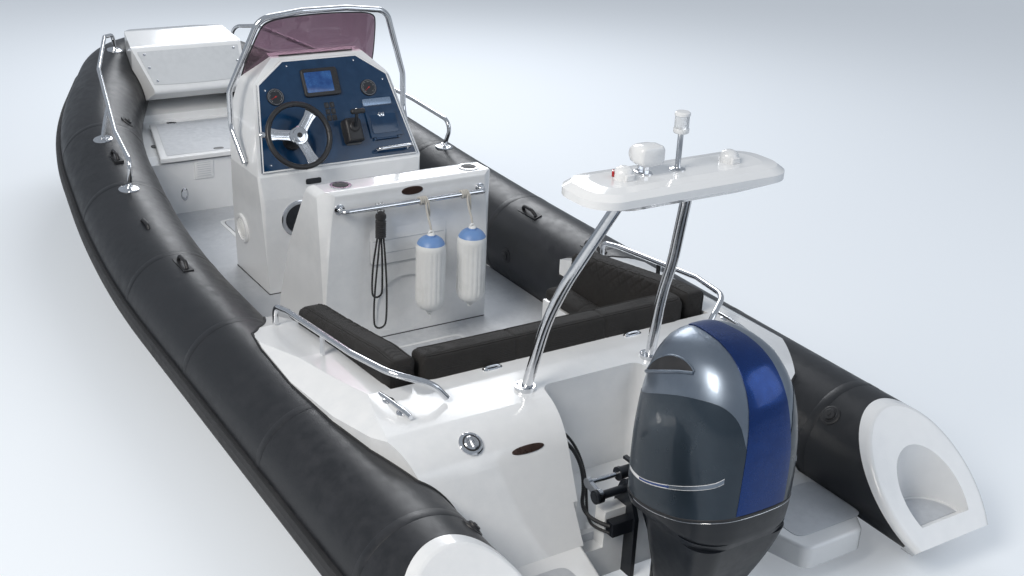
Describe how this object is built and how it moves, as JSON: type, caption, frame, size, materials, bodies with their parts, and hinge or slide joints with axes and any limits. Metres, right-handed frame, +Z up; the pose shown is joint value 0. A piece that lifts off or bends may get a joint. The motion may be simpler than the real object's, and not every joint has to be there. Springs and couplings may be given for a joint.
{
  "type": "inflatable rib boat",
  "caption": "Rigid inflatable boat with black tubes, white moulded deck, centre console, helm seat pod, U-shaped stern seat, light mast and an outboard motor.",
  "frame": {"origin": "on the waterline and the centreline, 170 mm ahead of the transom's outer face", "axes": "+X to the bow, +Y to port, +Z up, with the waterline at z = 0"},
  "size_m": [6.5365, 2.506, 2.533],
  "materials": {
    "tube_fabric": "satin coated fabric",
    "strake_rubber": "matt rubber",
    "white_moulding": "glossy gelcoat",
    "white_hull": "glossy gelcoat",
    "deck_grip": "non-slip",
    "cushion_cloth": "woven",
    "dash_navy": "glossy",
    "black_plastic": "moulded",
    "stainless": "polished",
    "wheel_grip": "soft grip",
    "screen_tint": "tinted",
    "fender_vinyl": "soft vinyl",
    "fender_rope": "twisted",
    "black_rope": "twisted",
    "lamp_white": "glossy",
    "motor_black": "satin paint",
    "cowl_blue": "metallic lacquer",
    "gearcase_grey": "satin paint",
    "propeller_metal": "satin paint"
  },
  "bodies": {
    "boat": {"tube_port": "tube_fabric", "tube_starboard": "tube_fabric", "rub_strakes": "strake_rubber", "end_caps": "white_moulding", "hull": "white_hull", "cockpit_sole": "deck_grip", "swim_platform_port": "white_moulding", "swim_platform_starboard": "white_moulding", "aft_moulding": "white_moulding", "seat_cushion": "cushion_cloth", "backrest_rear": "cushion_cloth", "backrest_port": "cushion_cloth", "backrest_starboard": "cushion_cloth", "bow_platform": "white_moulding", "bow_step": "white_moulding", "console": "white_moulding", "dash_panel": "dash_navy", "dash_instruments": "black_plastic", "throttle_control": "black_plastic", "dash_grab_rail": "stainless", "steering_column": "black_plastic", "windscreen": "screen_tint", "screen_frame": "stainless", "helm_pod": "white_moulding", "pod_rail": "stainless", "cup_holders": "stainless", "fenders": "fender_vinyl", "fender_ropes": "fender_rope", "rope_hank": "black_rope", "rope_loop_long": "black_rope", "rope_loop_short": "black_rope", "hose_large": "black_plastic", "hose_small": "black_plastic", "bow_rail_port": "stainless", "bow_rail_starboard": "stainless", "tube_handles": "black_plastic", "seat_rails": "stainless", "mast_legs": "stainless", "mast_wing": "white_moulding", "mast_lamps": "lamp_white", "deck_cleats": "stainless", "fuel_filler": "stainless", "towing_eyes": "stainless", "clamp_bracket": "motor_black"},
    "engine_trim": {"swivel_bracket": "motor_black", "steering_rod": "stainless"},
    "steering_slide": {"steering_cylinder": "motor_black"},
    "engine_steer": {"steering_shaft": "motor_black", "motor_cowl": "cowl_blue", "motor_apron": "motor_black", "gearcase": "gearcase_grey"},
    "propeller": {"propeller": "propeller_metal"},
    "wheel": {"steering_wheel": "wheel_grip"},
    "bow_lid": {"bow_locker_lid": "white_moulding"},
    "glovebox": {"glovebox_lid": "dash_navy"}
  },
  "joints": [
    {"name": "engine_trim", "type": "hinge", "parent": "boat", "child": "engine_trim", "pos_m": [-0.15, 0, 0.345], "axis": [0, 1, 0], "range_deg": [0, 20]},
    {"name": "engine_steer", "type": "hinge", "parent": "engine_trim", "child": "engine_steer", "pos_m": [-0.29, 0, 0], "axis": [0, 0, 1], "range_deg": [-30, 30]},
    {"name": "steering_slide", "type": "slide", "parent": "engine_trim", "child": "steering_slide", "axis": [0, 1, 0], "range_m": [-0.116, 0.116]},
    {"name": "propeller_spin", "type": "hinge", "parent": "engine_steer", "child": "propeller", "pos_m": [-0.65, 0, -0.575], "axis": [1, 0, 0], "continuous": true},
    {"name": "wheel_turn", "type": "hinge", "parent": "boat", "child": "wheel", "pos_m": [2.45177, 0.25, 1.00972], "axis": [0.8688, 0, -0.4952], "range_deg": [-720, 720]},
    {"name": "bow_lid_hinge", "type": "hinge", "parent": "boat", "child": "bow_lid", "pos_m": [4.6, 0, 0.512], "axis": [0, 1, 0], "range_deg": [0, 80]},
    {"name": "glovebox_hinge", "type": "hinge", "parent": "boat", "child": "glovebox", "pos_m": [2.52331, -0.28, 0.91715], "axis": [0, -1, 0], "range_deg": [0, 90]}
  ],
  "couplings": [
    {"joint": "wheel_turn", "follows": "engine_steer", "ratio": 24},
    {"joint": "steering_slide", "follows": "engine_steer", "m_per_rad": 0.22}
  ]
}
